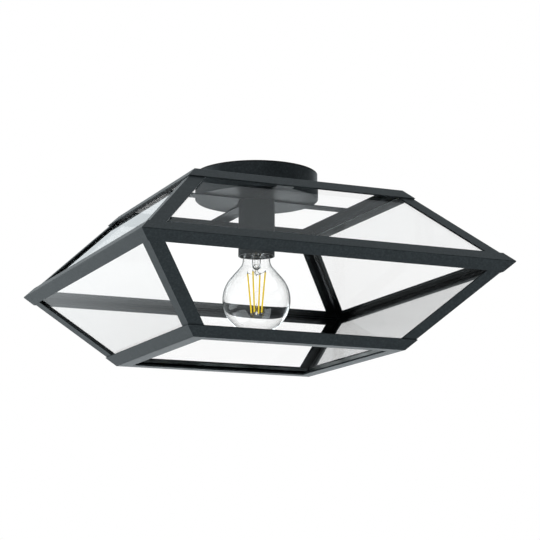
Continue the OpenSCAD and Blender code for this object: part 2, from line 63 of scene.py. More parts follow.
# The view's three directions come from azimuth and rise, and the roll turns right and down.
def addCamera(values):
    a, e, r = (math.radians(values[k]) for k in ("azimuth", "rise", "roll"))
    ahead = Vector((math.sin(a) * math.cos(e), math.cos(a) * math.cos(e), math.sin(e)))
    right = ahead.cross(Vector((0, 0, 1))).normalized()
    down = ahead.cross(right)
    turnedRight = math.cos(r) * right + math.sin(r) * down
    turnedDown = math.cos(r) * down - math.sin(r) * right
    data = bpy.data.cameras.new("photoCamera")
    data.sensor_width = values["sensor"]
    data.sensor_fit = "HORIZONTAL"
    data.lens = values["lens"]
    data.clip_end = values["farClip"]
    data.dof.use_dof = False
    cam = bpy.data.objects.new("photoCamera", data)
    bpy.context.scene.collection.objects.link(cam)
    axes = Matrix((turnedRight, -turnedDown, -ahead)).transposed().to_4x4()
    cam.matrix_world = Matrix.Translation(values["place"]) @ axes
    bpy.context.scene.camera = cam


addCamera(camera)
bpy.context.scene.view_settings.view_transform = "Standard"
print("camera set")


# A node tree with one Principled shader, and short calls that add nodes to it.
class Recipe:
    def __init__(self, name, color, roughness, metallic=0.0, ior=1.5, **sockets):
        self.material = bpy.data.materials.new(name)
        self.material.use_nodes = True
        self.material.diffuse_color = (*color, 1.0)
        self.tree = self.material.node_tree
        self.shader = self.tree.nodes["Principled BSDF"]
        self.place = None
        self.set("Base Color", (*color, 1.0))
        self.set("Roughness", roughness)
        self.set("Metallic", metallic)
        self.set("IOR", ior)
        for label, value in sockets.items():
            self.set(label.replace("_", " "), value)

    def set(self, label, value):
        self.shader.inputs[label].default_value = value

    # each value is an input of the node or, where it has none of that name, a property
    def add(self, kind, **values):
        node = self.tree.nodes.new(kind)
        for label, value in values.items():
            socket = node.inputs.get(label)
            if socket is None:
                setattr(node, label, value)
            else:
                socket.default_value = value
        return node

    def link(self, source, socket):
        self.tree.links.new(source, socket)

    def coords(self):
        if self.place is None:
            self.place = self.add("ShaderNodeTexCoord").outputs["Object"]
        return self.place

    def noise(self, scale, detail=3.0, rough=0.55, stretch=None):
        node = self.add("ShaderNodeTexNoise", Scale=scale, Detail=detail, Roughness=rough)
        source = self.coords()
        if stretch:
            mapping = self.add("ShaderNodeMapping", Scale=stretch)
            self.link(source, mapping.inputs["Vector"])
            source = mapping.outputs["Vector"]
        self.link(source, node.inputs["Vector"])
        return node.outputs["Fac"]

    def ramp(self, value, stops, interpolation="LINEAR"):
        node = self.add("ShaderNodeValToRGB")
        node.color_ramp.interpolation = interpolation
        while len(node.color_ramp.elements) < len(stops):
            node.color_ramp.elements.new(0.5)
        for element, (where, color) in zip(node.color_ramp.elements, stops):
            element.position = where
            element.color = (*color, 1.0)
        self.link(value, node.inputs["Fac"])
        return node.outputs["Color"]

    # a noise of 0.3 to 0.7 carried to a number from low to high
    def span(self, value, low, high):
        node = self.add("ShaderNodeMapRange")
        for label, bound in (("From Min", 0.3), ("From Max", 0.7), ("To Min", low), ("To Max", high)):
            node.inputs[label].default_value = bound
        self.link(value, node.inputs["Value"])
        return node.outputs["Result"]

    # each bump lies on the ones before it
    def bump(self, height, strength, distance):
        node = self.add("ShaderNodeBump", Strength=strength, Distance=distance)
        self.link(height, node.inputs["Height"])
        before = self.shader.inputs["Normal"].links
        if before:
            self.link(before[0].from_socket, node.inputs["Normal"])
        self.link(node.outputs["Normal"], self.shader.inputs["Normal"])

    def color(self, source):
        self.link(source, self.shader.inputs["Base Color"])

    def rough(self, source):
        self.link(source, self.shader.inputs["Roughness"])


def shade(color, factor):
    return tuple(min(1.0, c * factor) for c in color)


# Powder coat: dark and pale grit a millimetre or two wide, with a finer bump over it.
def powderCoat(name, color, rough=0.42, grain=1.0):
    m = Recipe(name, color, rough, Specular_IOR_Level=0.34, Specular_Tint=(0.82, 0.94, 1.0, 1.0))
    fine = m.noise(1500, detail=2, rough=0.6)
    grit = m.noise(430, detail=3, rough=0.75)
    broad = m.noise(60, detail=4, rough=0.6)
    m.color(m.ramp(grit, [(0.32, shade(color, 0.55)), (0.51, color), (0.70, shade(color, 1.75))]))
    m.rough(m.span(broad, rough - 0.015, rough + 0.015))
    m.bump(grit, strength=0.22 * grain, distance=0.00025)
    m.bump(fine, strength=0.30 * grain, distance=0.00012)
    return m.material


# Clear glass with the slightest unevenness in its colour.
def clearGlass(name, color, ior):
    m = Recipe(name, color, 0.0, ior=ior, Transmission_Weight=1.0)
    m.color(m.ramp(m.noise(9, detail=2, rough=0.5), [(0.3, shade(color, 0.995)), (0.7, color)]))
    return m.material


# Metal with fine streaks along one way and a faint cloudy patina.
def brushedMetal(name, color, rough, along=(1, 1, 1)):
    m = Recipe(name, color, rough, metallic=1.0)
    streak = m.noise(900, detail=3, rough=0.6, stretch=along)
    cloud = m.noise(90, detail=4, rough=0.6)
    m.color(m.ramp(cloud, [(0.3, shade(color, 0.88)), (0.7, shade(color, 1.048))]))
    m.rough(m.span(streak, rough * 0.75, rough * 1.3))
    m.bump(streak, strength=0.08, distance=0.00008)
    return m.material


# Moulded plastic or glaze: broad soft shading and a very fine bump.
def mouldedPlastic(name, color, rough):
    m = Recipe(name, color, rough, ior=1.49)
    fine = m.noise(1500, detail=3, rough=0.5)
    broad = m.noise(60, detail=3, rough=0.5)
    m.color(m.ramp(broad, [(0.3, shade(color, 0.9)), (0.7, shade(color, 1.08))]))
    m.rough(m.span(fine, rough - 0.05, rough + 0.05))
    m.bump(fine, strength=0.1, distance=0.0001)
    return m.material


# Rubber or silicone: soft waves of a few millimetres.
def silicone(name, color, rough):
    m = Recipe(name, color, rough, ior=1.41)
    soft = m.noise(220, detail=3, rough=0.5)
    m.color(m.ramp(soft, [(0.3, shade(color, 0.8)), (0.7, shade(color, 1.2))]))
    m.rough(m.span(soft, rough - 0.04, rough + 0.04))
    m.bump(soft, strength=0.06, distance=0.0002)
    return m.material


# A ground edge of glass: pale and matt, brighter and darker along its length.
def groundGlass(name, color, rough):
    m = Recipe(name, color, rough)
    long = m.noise(14, detail=3, rough=0.5)
    fine = m.noise(900, detail=2, rough=0.5)
    m.color(m.ramp(long, [(0.36, shade(color, 0.45)), (0.5, color), (0.62, shade(color, 1.5))]))
    m.rough(m.span(fine, rough - 0.06, rough + 0.06))
    m.bump(fine, strength=0.12, distance=0.0001)
    return m.material


# Silicone full of yellow phosphor over a row of small chips: bands along the height, and a painted glow from
# its emission, though the bulb is unlit.
def phosphorCoatWithPaintedGlow(name, color):
    # the emission is a painted glow: the phosphor shines though no lamp is lit inside the bulb
    m = Recipe(name, color, 0.38, ior=1.42, Emission_Color=(*color, 1.0), Emission_Strength=0.75)
    wave = m.add("ShaderNodeTexWave", Scale=210.0, Distortion=0.4, Detail=1.0, bands_direction="Z")
    m.link(m.coords(), wave.inputs["Vector"])
    bands = [(0.0, shade(color, 0.9)), (0.5, color), (1.0, shade(color, 1.12))]
    m.color(m.ramp(wave.outputs["Fac"], bands))
    m.bump(m.noise(900, detail=2, rough=0.5), strength=0.12, distance=0.0001)
    return m.material


# Two colours side by side along a wire: the stripe comes from the wire's own UV map.
def stripedSleeve(name, first, second):
    m = Recipe(name, first, 0.42)
    uv = m.add("ShaderNodeUVMap", uv_map="along")
    part = m.add("ShaderNodeSeparateXYZ")
    m.link(uv.outputs["UV"], part.inputs["Vector"])
    m.color(m.ramp(part.outputs["X"], [(0.0, first), (0.62, second)], interpolation="CONSTANT"))
    m.bump(m.noise(700, detail=2, rough=0.5), strength=0.06, distance=0.0001)
    return m.material


finish = dict(
    powder=powderCoat("anthracitePowderCoat", (0.0188, 0.0231, 0.0252), 0.44),
    pane=clearGlass("clearPaneGlass", (0.998, 1.0, 0.999), 1.4),
    silicone=silicone("blackGlazingSilicone", (0.0070, 0.0108, 0.0130), 0.5),
    gasket=silicone("foamRubberGasket", (0.012, 0.012, 0.012), 0.75),
    zinc=brushedMetal("zincPlatedSteel", (0.60, 0.61, 0.60), 0.33, along=(1, 6, 1)),
    blackScrew=powderCoat("blackenedScrew", (0.012, 0.013, 0.014), 0.30, grain=0.4),
    terminal=mouldedPlastic("ivoryTerminalPlastic", (0.80, 0.78, 0.70), 0.42),
    brass=brushedMetal("turnedBrass", (0.72, 0.50, 0.20), 0.24, along=(1, 1, 8)),
    holder=mouldedPlastic("darkLampholderPlastic", (0.026, 0.031, 0.034), 0.34),
    ceramic=mouldedPlastic("glazedCeramic", (0.78, 0.76, 0.70), 0.18),
    brown=mouldedPlastic("brownWireSleeve", (0.10, 0.035, 0.012), 0.4),
    blue=mouldedPlastic("blueWireSleeve", (0.012, 0.07, 0.38), 0.4),
    earth=stripedSleeve("greenYellowWireSleeve", (0.02, 0.22, 0.03), (0.75, 0.62, 0.03)),
    bulbGlass=clearGlass("clearBulbGlass", (0.998, 1.0, 1.0), 1.47),
    # the phosphor's finish carries a painted glow from its emission
    phosphor=phosphorCoatWithPaintedGlow("yellowPhosphorPaintedGlow", (0.90, 0.63, 0.008)),
    nickel=brushedMetal("nickelWire", (0.66, 0.65, 0.63), 0.22),
    cap=brushedMetal("nickelPlatedCap", (0.70, 0.69, 0.66), 0.20, along=(1, 1, 5)),
    capGlass=mouldedPlastic("blackCapGlass", (0.008, 0.008, 0.009), 0.12),
    groundGlass=groundGlass("groundGlassEdge", (0.52, 0.56, 0.56), 0.42),
)
slotFinish = dict(
    powder_coat="powder", pane_glass="pane", glazing_silicone="silicone", gasket_rubber="gasket",
    zinc_steel="zinc", black_screw="blackScrew", terminal_plastic="terminal", brass="brass",
    lampholder_plastic="holder", lampholder_ceramic="ceramic", wire_brown="brown", wire_blue="blue",
    wire_green_yellow="earth", bulb_glass="bulbGlass", filament_phosphor="phosphor",
    nickel_wire="nickel", bulb_cap_metal="cap", cap_insulator="capGlass",
)
nodeSlot = {row["node"]: row["material_slot"] for row in frame["record"]["subparts"]}
for name, item in nodes.items():
    item.data.materials.clear()
    item.data.materials.append(finish[slotFinish[nodeSlot[name]]])
print("finishes:", len(finish), "on", len(nodes), "CAD nodes")


# Points and faces are whole arrays; the piece takes its slot's finish and rides on a body.
def newPiece(name, points, faces, body, slotName, *replaced, uv=None, smooth=True, look=None):
    mesh = bpy.data.meshes.new(name)
    mesh.from_pydata(np.asarray(points).tolist(), [], [face.tolist() for face in faces])
    mesh.materials.append(finish[look or slotFinish[slotName]])
    mesh.polygons.foreach_set("use_smooth", np.full(len(mesh.polygons), smooth))
    if uv is not None:
        layer = mesh.uv_layers.new(name="along")
        corner = np.empty(len(mesh.loops), dtype=np.int32)
        mesh.loops.foreach_get("vertex_index", corner)
        layer.data.foreach_set("uv", np.asarray(uv)[corner].astype(np.float32).ravel())
    mesh.update()
    piece = bpy.data.objects.new(name, mesh)
    bpy.context.scene.collection.objects.link(piece)
    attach(piece, body)
    if replaced:
        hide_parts(*replaced)
    return piece


# Quads between neighbouring points of a grid; either way round may close on itself.
def gridFaces(rows, cols, closeRows, closeCols, flip=False):
    i = np.arange(rows if closeRows else rows - 1)[:, None]
    j = np.arange(cols if closeCols else cols - 1)[None, :]
    a, b = i % rows, (i + 1) % rows
    c, d = j % cols, (j + 1) % cols
    quads = np.stack([a * cols + c, a * cols + d, b * cols + d, b * cols + c], -1).reshape(-1, 4)
    return quads[:, ::-1] if flip else quads


# The quads of a tube whose rows are its circles, and one face over each end.
def tubeFaces(rows, cols, flip=False):
    first = np.arange(cols)
    ends = [first[::-1], first + (rows - 1) * cols]
    if flip:
        ends = [end[::-1] for end in ends]
    return [*gridFaces(rows, cols, False, True, flip), *ends]


# Equal steps round a circle, as one row.
def angles(count):
    return np.linspace(0, 2 * np.pi, count, endpoint=False)[None, :]


# Circles round the Z axis: radius times cosine and sine of the angle, at a height.
def circles(radius, height, angle):
    sides = np.broadcast_arrays(radius * np.cos(angle), radius * np.sin(angle), height)
    return np.stack(sides, -1).reshape(-1, 3)


# A profile of (radius, height) carried round the Z axis. Where there is a ripple, the profile's
# third column times ripple(angle, height) is added to the radius.
def turned(profile, around, ripple=None):
    p = np.asarray(profile, float)
    t = angles(around)
    radius, height = p[:, :1], p[:, 1:2]
    if ripple is not None:
        radius = radius + p[:, 2:3] * ripple(t, height)
    return circles(radius, height, t) * mm, len(p), around


# A closed loop of (radius, height, share of the ripple) turned into a closed ring.
def ring(name, loop, body, slotName, *replaced, around=96, ripple=None, look=None):
    points, rows, cols = turned(loop, around, ripple)
    return newPiece(name, points, gridFaces(rows, cols, True, True), body, slotName, *replaced, look=look)


# Points on a circle round (x, y), from one angle to another, in degrees.
def arcPoints(x, y, r, start, end, count):
    a = np.radians(np.linspace(start, end, count))
    return np.stack([x + r * np.cos(a), y + r * np.sin(a)], -1)


# A Catmull-Rom line through the points, with the same number of steps between each two.
def smoothPath(points, count):
    p = np.asarray(points, float)
    n = len(p) - 1
    t = np.linspace(0, n, count)
    i = np.minimum(t.astype(int), n - 1)
    f = (t - i)[:, None]
    a, b, c, d = p[np.maximum(i - 1, 0)], p[i], p[i + 1], p[np.minimum(i + 2, n)]
    return 0.5 * (2 * b + (c - a) * f + (2 * a - 5 * b + 4 * c - d) * f ** 2
                  + (3 * b - a - 3 * c + d) * f ** 3)


# (radius, height) points smoothed, with their heights counted from a level.
def smoothFrom(level, points, count):
    return smoothPath(points, count) + (0, level)


# (radius, height) points with their heights counted from a level, and no ripple.
def plainFrom(level, points):
    p = np.asarray(points, float)
    return np.stack([p[:, 0], p[:, 1] + level, 0 * p[:, 0]], -1)


# (x, height) points in the XZ plane with their heights counted from a level.
def uprightFrom(level, points):
    p = np.asarray(points, float)
    return np.stack([p[:, 0], 0 * p[:, 0], p[:, 1] + level], -1)


# Circles carried along a path, each square to it. The radius is one number or one for each point.
def tubeAlong(path, radius, sides):
    p = np.asarray(path, float)
    n = len(p)
    ahead = np.gradient(p, axis=0)
    ahead /= np.linalg.norm(ahead, axis=1, keepdims=True)
    aside = (0.137, 0.969, 0.206)   # a direction that no path here runs along
    u = np.cross(ahead, aside)
    u /= np.linalg.norm(u, axis=1, keepdims=True)
    v = np.cross(ahead, u)
    r = np.broadcast_to(np.asarray(radius, float), (n,))[:, None, None]
    t = angles(sides)
    points = p[:, None, :] + r * (np.cos(t)[..., None] * u[:, None, :] + np.sin(t)[..., None] * v[:, None, :])
    uv = np.stack(np.broadcast_arrays(t / (2 * np.pi), np.arange(n)[:, None] / n), -1)
    return points.reshape(-1, 3), tubeFaces(n, sides), uv.reshape(-1, 2)


# The points and faces of several surfaces put into one, with the faces counted on.
def joined(parts):
    starts = np.cumsum([0] + [len(part[0]) for part in parts])
    faces = [face + start for part, start in zip(parts, starts) for face in part[1]]
    return np.concatenate([part[0] for part in parts]), faces


paneEdge = dict(outer=0.06, inner=0.02)   # how far the ground edge stands off the glass at its two faces


# A thin closed bar over the pane's edge at the open ring. Its corners are the edge's own corners
# on both faces of the pane, moved outwards by the outer and the inner distance.
def groundEdge(name):
    mesh = nodes[name].data
    p = np.empty(len(mesh.vertices) * 3)
    mesh.vertices.foreach_get("co", p)
    p = np.unique(p.reshape(-1, 3).round(6), axis=0)
    n = np.linalg.svd(p - p.mean(0))[2][2]
    depth = (p - p.mean(0)) @ n
    # the first two corners are the ends of the edge at the ring, which lie nearest to the middle
    q = p[depth > 0]
    q = q[np.argsort(np.linalg.norm(q[:, :2], axis=1))]
    along = q[1] - q[0]
    along /= np.linalg.norm(along)
    out = np.cross(along, n)
    out *= np.sign(out @ (q[0] - q[2:].mean(0)))
    outer, inner = paneEdge["outer"] * mm, paneEdge["inner"] * mm
    away = np.array([outer, outer, inner, inner])[:, None, None]
    back = np.array([0, 1, 1, 0])[:, None, None] * np.ptp(depth)
    points = (q[None, :2] + away * out - back * n).reshape(-1, 3)
    faces = [*gridFaces(4, 2, True, False), np.array([0, 2, 4, 6]), np.array([7, 5, 3, 1])]
    if np.linalg.det([along, out, n]) < 0:
        faces = [face[::-1] for face in faces]
    return points, faces


points, faces = joined([groundEdge(name) for name in nodes if "_pane_" in name])
newPiece("paneGroundEdges", points, faces, "lantern", "pane_glass", smooth=False, look="groundGlass")
print("pane edges done")


# the lowest and the highest level of a CAD node, in mm
def levels(name):
    return [corner.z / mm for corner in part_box(name)]


globeLow = levels("bulb_globe")[0]
capEnd = levels("bulb_screw_cap")[0]
tipZ = levels("bulb_tip_contact")[1]
print("levels: tip %.2f, cap end %.2f, globe low %.2f" % (tipZ, capEnd, globeLow))

bulb = dict(
    globe=40.0,        # radius
    neck=16.2,         # radius
    seat=12.15,        # radius of the neck's end inside the cap
    curve=14.0,        # radius of the hollow curve under the neck
    shoulder=41.0,     # degrees that the shoulder leans
    lastAngle=-89.2,   # where the globe's arc ends, just before its pole
    wall=0.7,
    around=144,
)
bulb["middle"] = globeLow + bulb["globe"]


# Straight neck, a hollow curve, the straight shoulder that touches it and the globe, all moved
# inwards by a distance. The curve's middle is as high as that touch asks.
def bulbLine(inward):
    b = bulb
    slope = math.radians(b["shoulder"])
    reach = b["globe"] + b["curve"]
    up = (reach - (b["neck"] + b["curve"]) * math.cos(slope)) / math.sin(slope)
    neckLine = [(b["seat"], 0.2), (b["seat"] + 0.3, -0.6), (b["neck"] - 1.2, -3.2),
                (b["neck"] - 0.25, -5.0), (b["neck"], -7.0)]
    upper = np.concatenate([[(b["seat"], 3.0)], smoothPath(neckLine, 18)]) + (-inward, capEnd)
    hollow = arcPoints(b["neck"] + b["curve"], b["middle"] + up, b["curve"] + inward,
                       180, 180 + b["shoulder"], 24)
    return np.concatenate([
        upper,
        hollow,
        arcPoints(0, b["middle"], b["globe"] - inward, b["shoulder"], b["lastAngle"], 84)])


# The outer line runs up from the pole and the inner one down again, and a fan closes each pole.
points, rows, cols = turned(np.concatenate([bulbLine(0)[::-1], bulbLine(bulb["wall"])]), bulb["around"])
lowest = bulb["middle"] - bulb["globe"]
points = np.concatenate([points, [[0, 0, lowest * mm], [0, 0, (lowest + bulb["wall"]) * mm]]])
k = np.arange(cols)
after = (k + 1) % cols
last = (rows - 1) * cols
outerFan = np.stack([np.full(cols, rows * cols), after, k], -1)
innerFan = np.stack([np.full(cols, rows * cols + 1), last + k, last + after], -1)
newPiece("bulbGlassEnvelope", points, [*gridFaces(rows, cols, False, True), *outerFan, *innerFan],
         "bulb", "bulb_glass", "bulb_globe")
print("bulb glass done")

filament = dict(
    high=32.5,           # the upper ends over the globe's middle
    drop=48.0,           # from the upper ends down to the lower ends
    top=11.2, foot=6.4,  # distance from the axis at either end
    length=48.2, radius=0.95, sides=16, count=4, firstTurn=45,
    tab=(-0.6, 0.2, 0.9), tabRadius=(0.8, 0.8, 0.62),   # the metal tabs along the rod's ends
    topArm=[(2.3, -0.4), (4.2, -1.1), (7.0, -0.9), (9.6, 0.1), (11.0, 1.1), (11.45, 2.6)],
    footArm=[(1.1, -0.5), (2.8, -1.0), (4.6, -1.1), (5.9, -0.9), (6.3, -0.2)],
    armRadius=0.26,
    leadLow=[(1.2, 4.6), (1.5, 7.0), (1.9, 10.0)],      # lead wires over the upper ends
    leadHigh=[(2.2, -5.0), (3.2, 2.0), (4.5, 9.0)],     # and round the cap's end
    leadRadius=0.22,
)
filTop = bulb["middle"] + filament["high"]
filFoot = filTop - filament["drop"]

glassStem = dict(   # (radius, height) points
    flareOut=[(10.9, 0.9), (10.3, -0.9), (7.4, -2.6), (5.5, -5.2), (5.1, -8.0)],   # from the cap's end
    flareIn=[(4.3, -7.4), (4.8, -4.6), (6.8, -1.8), (9.6, -0.2), (10.1, 0.9)],
    sealOut=[(5.1, 8.4), (4.9, 7.2), (4.2, 5.8), (3.1, 4.6), (2.1, 3.6), (1.7, 2.8), (1.9, 1.9),
             (2.6, 0.9), (2.8, -0.2), (2.2, -1.4), (1.0, -2.2), (0.55, -3.0)],     # from the rods' upper ends
    sealIn=[(0.02, 5.0), (0.7, 5.15), (1.5, 5.7), (2.5, 6.5), (3.5, 7.6), (4.15, 9.2), (4.3, 11.0)],
    bead=[(0.55, 2.2), (0.9, 1.4), (1.5, 0.5), (1.6, -0.4), (1.3, -1.5), (0.5, -2.15), (0.02, -2.25)],
    outer=5.1, inner=4.3, rod=0.55,   # radii of the straight stretches
    pressed=(1.6, 8.5),               # where the seal is flattened, over the rods' upper ends
    thinner=0.35, wider=0.35,
    around=64,
)


# The seal of the stem is pressed flat: a squared sine between two heights takes from Y and adds to X.
def flattened(points, values):
    low, high = (filTop + z for z in values["pressed"])
    w = np.clip((points[:, 2] / mm - low) / (high - low), 0, 1)
    bell = np.sin(np.pi * w) ** 2
    return points * np.stack([1 + bell * values["thinner"] * values["wider"], 1 - bell * values["thinner"],
                              np.ones(len(bell))], -1)


s = glassStem
stemInside = np.concatenate([
    smoothFrom(filTop, s["sealIn"], 26),
    np.linspace((s["inner"], filTop + 12), (s["inner"], capEnd - 8.4), 8),
    smoothFrom(capEnd, s["flareIn"], 16)])
stemOutside = np.concatenate([
    smoothFrom(capEnd, s["flareOut"], 22),
    np.linspace((s["outer"], capEnd - 9), (s["outer"], filTop + 9.2), 8),
    smoothFrom(filTop, s["sealOut"], 60),
    np.linspace((s["rod"], filTop - 4), (s["rod"], filFoot + 2.6), 12),
    smoothFrom(filFoot, s["bead"], 22)])
points, rows, cols = turned(np.concatenate([stemInside, stemOutside]), s["around"])
newPiece("bulbGlassStem", flattened(points, s), tubeFaces(rows, cols, flip=True),
         "bulb", "bulb_glass", "bulb_stem_mount")
print("glass stem done")

# Each rod is a straight tube whose radius follows a quarter circle at both ends. Its two tabs and
# its two arms lie in the rod's own plane, which is turned round the axis.
f = filament
rods, arms = [], []
low, high = np.array([f["foot"], 0, filFoot]), np.array([f["top"], 0, filTop])
ahead = (high - low) / np.linalg.norm(high - low)
t = np.concatenate([np.linspace(0, 0.02, 6), np.linspace(0.03, 0.97, 40), np.linspace(0.98, 1, 6)])
fromEnd = np.clip(np.minimum(t, 1 - t) * f["length"] / f["radius"], 0, 1)
rodRadius = f["radius"] * np.sqrt(np.clip(1 - (1 - fromEnd) ** 2, 0.02, 1))
for i in range(f["count"]):
    turn = math.radians(f["firstTurn"] + 360 / f["count"] * i)
    spin = np.array([[math.cos(turn), math.sin(turn), 0], [-math.sin(turn), math.cos(turn), 0], [0, 0, 1]])
    rods.append(tubeAlong((low + (high - low) * t[:, None]) @ spin * mm, rodRadius * mm, f["sides"]))
    for end, way in ((high, 1), (low, -1)):
        tab = end + np.outer(f["tab"], ahead * way)
        arms.append(tubeAlong(tab @ spin * mm, np.array(f["tabRadius"]) * mm, 12))
    for arm in (uprightFrom(filTop, f["topArm"]), uprightFrom(filFoot, f["footArm"])):
        arms.append(tubeAlong(smoothPath(arm, 26) @ spin * mm, f["armRadius"] * mm, 8))
# two lead wires inside the glass stem, from the seal up into the cap
for way in (-1, 1):
    lead = np.concatenate([uprightFrom(filTop, f["leadLow"]), uprightFrom(capEnd, f["leadHigh"])])
    arms.append(tubeAlong(smoothPath(lead * (way, 1, 1), 30) * mm, f["leadRadius"] * mm, 8))
points, faces = joined(rods)
newPiece("bulbFilamentRods", points, faces, "bulb", "filament_phosphor", "bulb_filaments")
points, faces = joined(arms)
newPiece("bulbFilamentArms", points, faces, "bulb", "nickel_wire", "bulb_filament_supports")
print("filaments done")


# A rolled right-hand thread: the cosine of the turns made in that height less the angle.
def screwWave(pitch):
    return lambda angle, height: np.cos(2 * np.pi * height / pitch - angle)


# 1 between two heights, falling smoothly to 0 at both ends.
def faded(low, high, z, run):
    w = np.clip((z - low) / run, 0, 1) * np.clip((high - z) / run, 0, 1)
    return w * w * (3 - 2 * w)


# The outside of a rolled wall from low to high, and its inside back again.
def threadedWall(values, low, high):
    v = values
    z = np.linspace(low, high, v["rows"])
    weight = v["depth"] * faded(low + 0.4, high - 0.4, z, 1.2)
    radius = np.full(v["rows"], v["radius"])
    return np.stack([radius, z, weight], -1), np.stack([radius - v["wall"], z, weight], -1)[::-1]


bulbThread = screwWave(3.629)   # pitch of the 27 mm screw cap
screwCap = dict(radius=12.6, wall=0.3, depth=0.45, rows=90)
capOut, capBack = threadedWall(screwCap, capEnd + 1.2, tipZ - 6.2)
capLoop = np.concatenate([
    plainFrom(capEnd, [(12.75, 0.1), (12.9, 0), (13.05, 0.15), (13.05, 0.7)]),
    capOut,
    plainFrom(tipZ, [(12.4, -5.5), (11.9, -4.85), (11.3, -4.45), (10.95, -4.4), (10.95, -4.7),
                     (11.6, -4.95), (12.1, -5.7)]),
    capBack,
    plainFrom(capEnd, [(12.72, 0.7)])])
ring("bulbThreadedCap", capLoop, "bulb", "bulb_cap_metal", "bulb_screw_cap", ripple=bulbThread)

shell = dict(radius=13.5, wall=0.45, depth=0.36, rows=90)
shellLow, shellHigh = levels("lampholder_screw_shell")
shellOut, shellBack = threadedWall(shell, shellLow + 1.0, shellHigh - 3.2)
shellLoop = np.concatenate([
    plainFrom(shellLow, [(13.45, 0), (13.85, 0), (13.9, 0.4)]),
    shellOut,
    plainFrom(shellHigh, [(13.5, -2.2), (13.2, -0.8), (12.4, -0.1), (11.4, 0), (9, 0), (9, -0.45),
                          (11.4, -0.45), (12.3, -0.6), (12.8, -1.2), (13.05, -2.3)]),
    shellBack,
    plainFrom(shellLow, [(13.4, 0.4)])])
ring("lampholderThreadedShell", shellLoop, "lantern", "brass", "lampholder_screw_shell",
     ripple=bulbThread, look="cap")

tubeStem = dict(bore=4.0, end=4.45, middle=4.75, depth=0.25, pitch=1.0, plainEnd=0.5, run=0.8, inside=6.0,
                rows=260, around=48)
v = tubeStem
stemLow, stemHigh = levels("hollow_stem")
z = np.linspace(stemLow + v["plainEnd"], stemHigh - v["plainEnd"], v["rows"])
stemLoop = np.concatenate([
    plainFrom(stemLow, [(v["bore"], 0), (v["end"], 0)]),
    np.stack([np.full(v["rows"], v["middle"]), z, v["depth"] * faded(z[0], z[-1], z, v["run"])], -1),
    plainFrom(stemHigh, [(v["end"], 0), (v["bore"], 0), (v["bore"], -v["inside"])]),
    plainFrom(stemLow, [(v["bore"], v["inside"])])])
ring("threadedHollowStem", stemLoop, "lantern", "zinc_steel", "hollow_stem",
     around=v["around"], ripple=screwWave(v["pitch"]))
print("threads done")

sideScrew = dict(
    head=3.6, dome=2.2, crown=4.0,    # radius and height of the head, and radius of its dome
    slotWide=0.5, slotLong=1.9, deep=1.3,
    softWide=0.18, softLong=0.5,      # run of the slots' edges, sideways and at their ends
    shank=1.98, long=8.0, tip=1.2,
    pitch=0.7, threadDeep=0.16, taper=0.6,
    out=73.0, level=-12.0,            # where the head sits on the canopy's wall
    around=72, shankRows=120,
)


# A domed head on circles of growing radius, sunk where two crossed slots lie, then its underside,
# the rippled shank and the flat tip.
def crossHead(values):
    v = values
    t = angles(v["around"])
    r = np.concatenate([np.linspace(0.02, 2.4, 20), np.linspace(2.6, v["head"], 8)])[:, None]
    x, y = np.abs(r * np.cos(t)), np.abs(r * np.sin(t))
    near, far = np.minimum(x, y), np.maximum(x, y)
    across = np.clip((v["slotWide"] - near) / v["softWide"] + 0.5, 0, 1)
    sunk = across * np.clip((v["slotLong"] - far) / v["softLong"] + 0.5, 0, 1)
    dome = np.sqrt(v["crown"] ** 2 - r ** 2) - v["crown"] + v["dome"]
    under = np.array([[v["head"], 0.12], [v["head"] - 0.15, 0.0], [v["shank"], 0.0]])
    z = np.linspace(0, -v["long"] + v["taper"], v["shankRows"])
    fade = faded(-v["long"] + v["taper"], -v["taper"], z, 0.5)[:, None]
    shankRadius = v["shank"] - v["threadDeep"] * (1 - fade * screwWave(v["pitch"])(t, z[:, None]))
    points = np.concatenate([
        circles(r, dome - v["deep"] * sunk * (1 - 0.35 * far / v["slotLong"]), t),
        circles(under[:, :1], under[:, 1:], t),
        circles(shankRadius, z[:, None], t),
        circles(v["tip"], -v["long"], t)])
    return points, tubeFaces(len(points) // v["around"], v["around"], flip=True)


headPoints, headFaces = crossHead(sideScrew)
screws = []
for way in (1, -1):
    # the screw's own Z becomes +X or -X of the lantern: it is turned, not mirrored
    lying = np.stack([headPoints[:, 2] * way, headPoints[:, 1], -headPoints[:, 0] * way], -1)
    screws.append(((lying + (sideScrew["out"] * way, 0, sideScrew["level"])) * mm, headFaces))
points, faces = joined(screws)
newPiece("canopyCrossHeadScrews", points, faces, "lantern", "black_screw", "canopy_side_screws")
print("side screws done")

wire = dict(radius=1.1, sides=16, steps=220, entry=-9.2, holderEnd=-57.5)
entry = wire["entry"]   # level of the terminal block's wire holes


# From a terminal down the hollow stem and out to one side of the lampholder.
def leadPath(side):
    return [(16, side * 8, entry), (11, side * 8, entry), (5, side * 6.4, entry - 1.6),
            (1.2, side * 3.2, stemHigh + 4.5), (0, side * 1.5, stemHigh - 2),
            (0, side * 1.5, (stemHigh + stemLow) / 2), (0, side * 1.5, stemLow - 1),
            (0, side * 4.5, wire["holderEnd"])]


# from the middle terminal round to the screw on the bracket
earthPath = [(16, 0, entry), (11, 0, entry), (5, -3, entry + 1), (0, -8, entry), (-10, -5, entry + 1),
             (-15, -1, -4.5), (-17.8, 0, -3.4)]
for name, path, slotName, node in (
        ("brownLeadWire", leadPath(1), "wire_brown", "live_wire"),
        ("blueLeadWire", leadPath(-1), "wire_blue", "neutral_wire"),
        ("stripedEarthWire", earthPath, "wire_green_yellow", "earth_wire")):
    points, faces, uv = tubeAlong(smoothPath(path, wire["steps"]) * mm, wire["radius"] * mm, wire["sides"])
    newPiece(name, points, faces, "lantern", slotName, node, uv=uv)
print("wires done")


